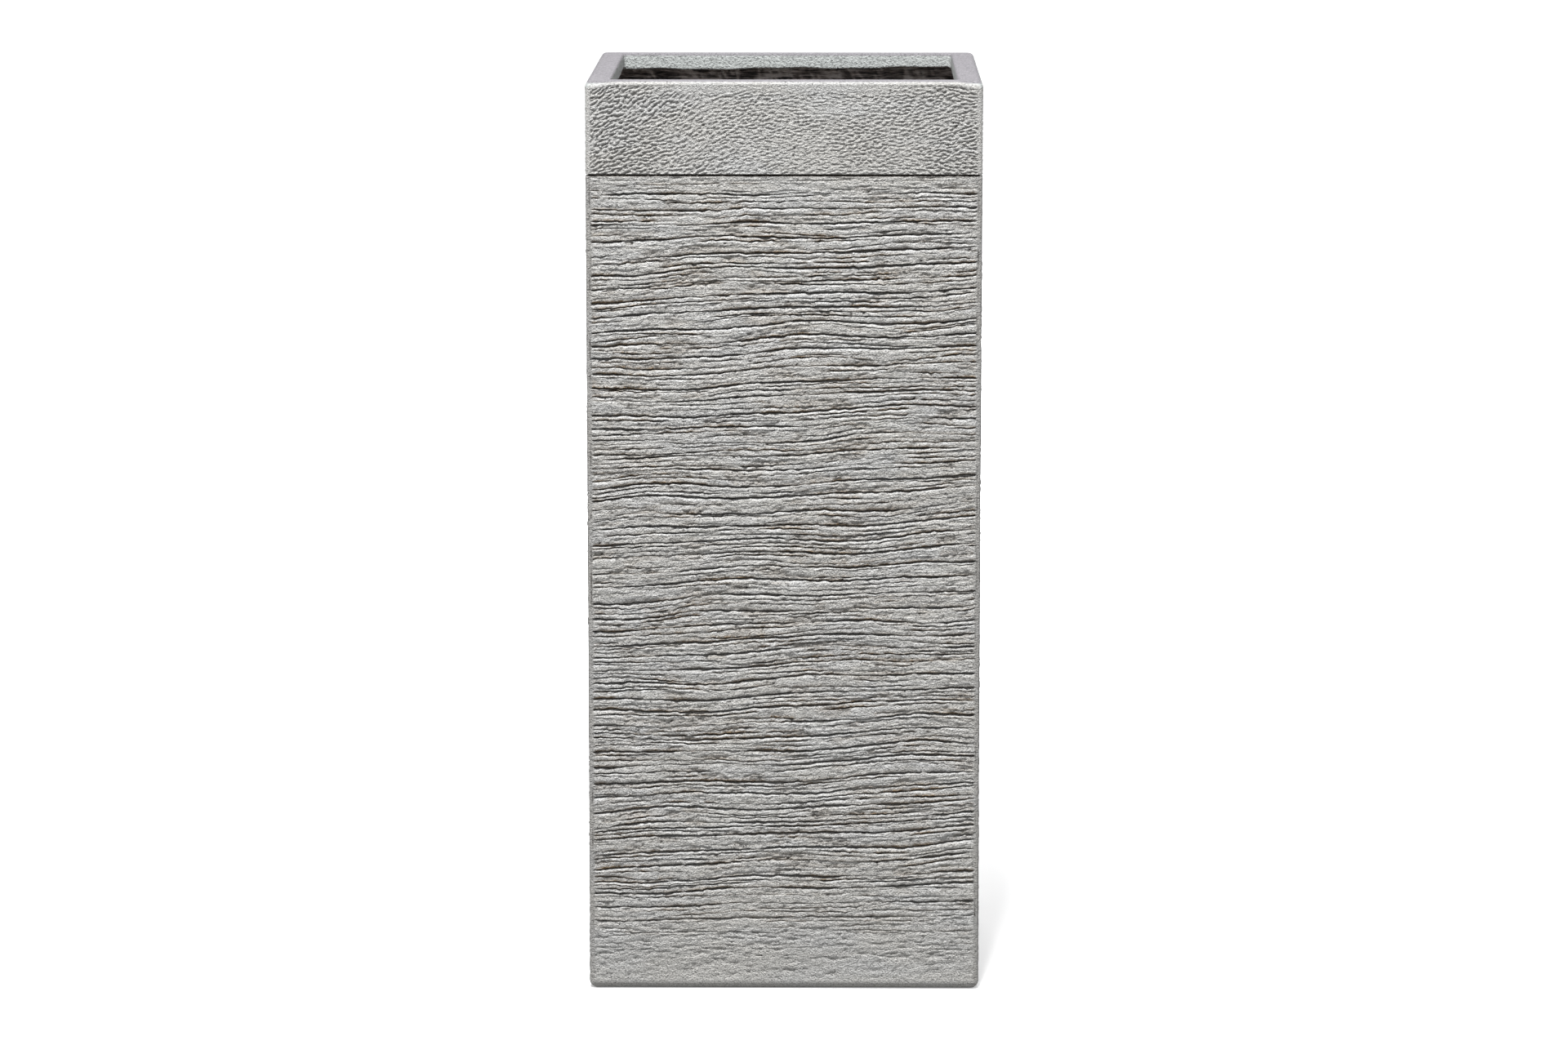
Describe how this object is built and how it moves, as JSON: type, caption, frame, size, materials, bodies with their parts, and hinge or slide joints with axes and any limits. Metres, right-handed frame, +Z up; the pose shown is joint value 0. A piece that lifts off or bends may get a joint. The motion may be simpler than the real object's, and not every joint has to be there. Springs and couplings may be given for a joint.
{
  "type": "floor planter",
  "caption": "Tall square fiberglass planter with combed stone-look faces, a plain band at the top, an inward rim lip and a pull-out drain plug.",
  "frame": {"origin": "middle of the underside, on the surface that the planter stands on", "axes": "+Z up through the mouth, front face towards -Y, +X to the right seen from the front"},
  "size_m": [0.3, 0.3, 0.7],
  "materials": {
    "facing_coat": "matte",
    "glass_mat": "satin",
    "bonding_putty": "matte",
    "rim_core": "matte",
    "plug_rubber": "matte"
  },
  "bodies": {
    "planter": {"facing_shell": "facing_coat", "laminate_shell": "glass_mat", "base_panel": "glass_mat", "base_mat": "glass_mat", "floor_fillet": "bonding_putty", "rim_core_front": "rim_core", "rim_core_right": "rim_core", "rim_core_back": "rim_core", "rim_core_left": "rim_core", "corner_tape_front_left": "glass_mat", "corner_tape_front_right": "glass_mat", "corner_tape_back_left": "glass_mat", "corner_tape_back_right": "glass_mat"},
    "plug": {"drain_plug": "plug_rubber"}
  },
  "joints": [
    {"name": "plug_lift", "type": "slide", "parent": "planter", "child": "plug", "axis": [0, 0, 1], "range_m": [0, 0.06]}
  ]
}
